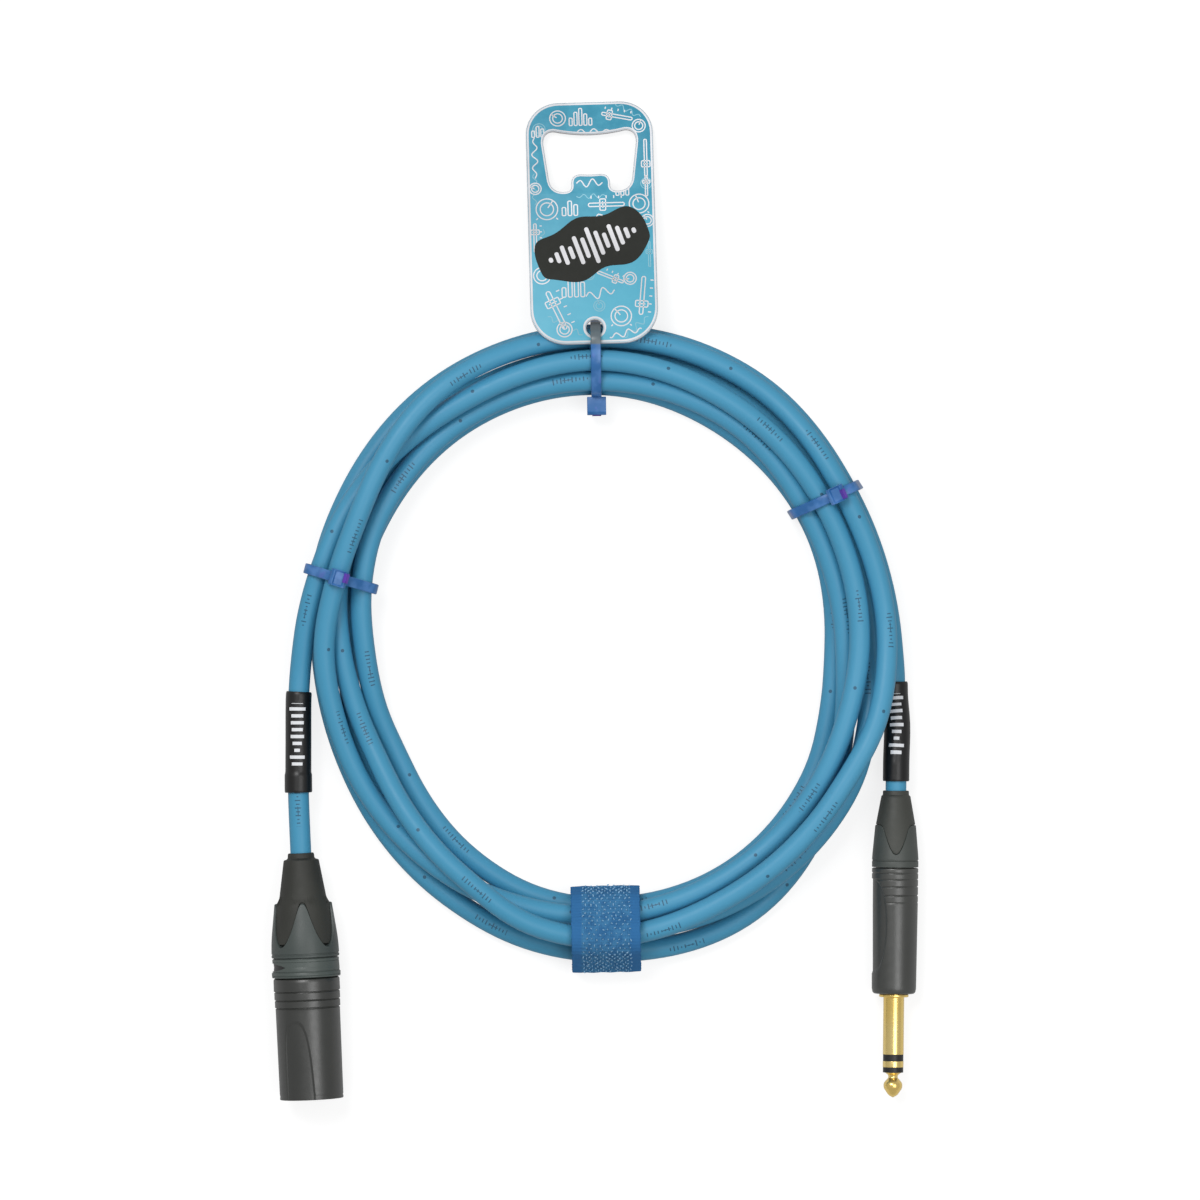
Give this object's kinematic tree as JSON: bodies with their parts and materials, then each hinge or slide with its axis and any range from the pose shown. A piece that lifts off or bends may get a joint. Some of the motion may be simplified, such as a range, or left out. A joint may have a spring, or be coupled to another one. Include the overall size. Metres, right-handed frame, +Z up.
{
  "type": "xlr cable coil",
  "caption": "Coiled stage audio cable with a male three-pin plug, a quarter-inch jack plug, cable ties, a hook-and-loop strap and a bottle-opener tag.",
  "frame": {"origin": "on the table, under the middle of the object", "axes": "+Z up from the table, +Y towards the tag, the two plugs point along -Y with the three-pin plug on the -X side"},
  "size_m": [0.198, 0.3058, 0.0272],
  "materials": {
    "cord_vinyl": "smooth satin",
    "marker_black": "satin",
    "tie_nylon": "smooth",
    "strap_fabric": "woven, with small hooks",
    "tag_plate": "printed, satin",
    "soft_rubber": "matte",
    "hard_plastic": "fine grain",
    "collar_grey": "satin",
    "shell_metal": "black chrome, satin",
    "insulation": "smooth",
    "gold": "gold plated, polished",
    "wire_red": "smooth",
    "wire_white": "smooth",
    "wire_black": "smooth"
  },
  "bodies": {
    "cable": {"coil": "cord_vinyl", "xlr_tail": "cord_vinyl", "jack_tail": "cord_vinyl", "xlr_sleeve": "marker_black", "jack_sleeve": "marker_black", "top_tie": "tie_nylon", "right_tie": "tie_nylon", "left_tie": "tie_nylon", "strap_band": "strap_fabric", "xlr_shell": "shell_metal", "xlr_insert": "insulation", "xlr_pin_1": "gold", "xlr_pin_2": "gold", "xlr_pin_3": "gold", "xlr_chuck": "hard_plastic", "xlr_cord_end": "cord_vinyl", "xlr_wire_1": "wire_red", "xlr_wire_2": "wire_white", "xlr_wire_3": "wire_black", "jack_shell": "shell_metal", "jack_chuck": "hard_plastic", "jack_cord_end": "cord_vinyl", "jack_lug_block": "insulation", "jack_wire_1": "wire_red", "jack_wire_2": "wire_white", "jack_wire_3": "wire_black", "jack_sleeve_contact": "gold", "jack_insulator_1": "insulation", "jack_ring": "gold", "jack_insulator_2": "insulation", "jack_tip": "gold"},
    "tag": {"tag": "tag_plate"},
    "strap_flap": {"strap_flap": "strap_fabric"},
    "xlr_collar": {"xlr_coding_ring": "collar_grey"},
    "xlr_cap": {"xlr_bushing": "hard_plastic", "xlr_boot": "soft_rubber"},
    "jack_collar": {"jack_coding_ring": "collar_grey"},
    "jack_cap": {"jack_bushing": "hard_plastic", "jack_boot": "soft_rubber"}
  },
  "joints": [
    {"name": "tag_swing", "type": "hinge", "parent": "cable", "child": "tag", "pos_m": [0, 0.07915, 0.01809], "axis": [0.9996, 0.0279, 0], "range_deg": [0, 120]},
    {"name": "strap_peel", "type": "hinge", "parent": "cable", "child": "strap_flap", "pos_m": [0.00302, -0.0872, 0.008], "axis": [-0.9998, -0.0209, 0], "range_deg": [0, 110]},
    {"name": "xlr_bushing_slide", "type": "slide", "parent": "cable", "child": "xlr_collar", "axis": [-0.0447, 0.999, 0], "range_m": [0, 0.006]},
    {"name": "xlr_bushing_turn", "type": "hinge", "parent": "xlr_collar", "child": "xlr_cap", "pos_m": [-0.0899, -0.0773, 0.0105], "axis": [-0.0447, 0.999, 0], "range_deg": [0, 1440]},
    {"name": "jack_bushing_slide", "type": "slide", "parent": "cable", "child": "jack_collar", "axis": [0.0103, 0.9999, 0], "range_m": [0, 0.00225]},
    {"name": "jack_bushing_turn", "type": "hinge", "parent": "jack_collar", "child": "jack_cap", "pos_m": [0.09205, -0.0569, 0.0072], "axis": [0.0103, 0.9999, 0], "range_deg": [0, 540]}
  ],
  "couplings": [
    {"joint": "xlr_bushing_turn", "follows": "xlr_bushing_slide", "rad_per_m": 4188.8},
    {"joint": "jack_bushing_turn", "follows": "jack_bushing_slide", "rad_per_m": 4188.8}
  ]
}
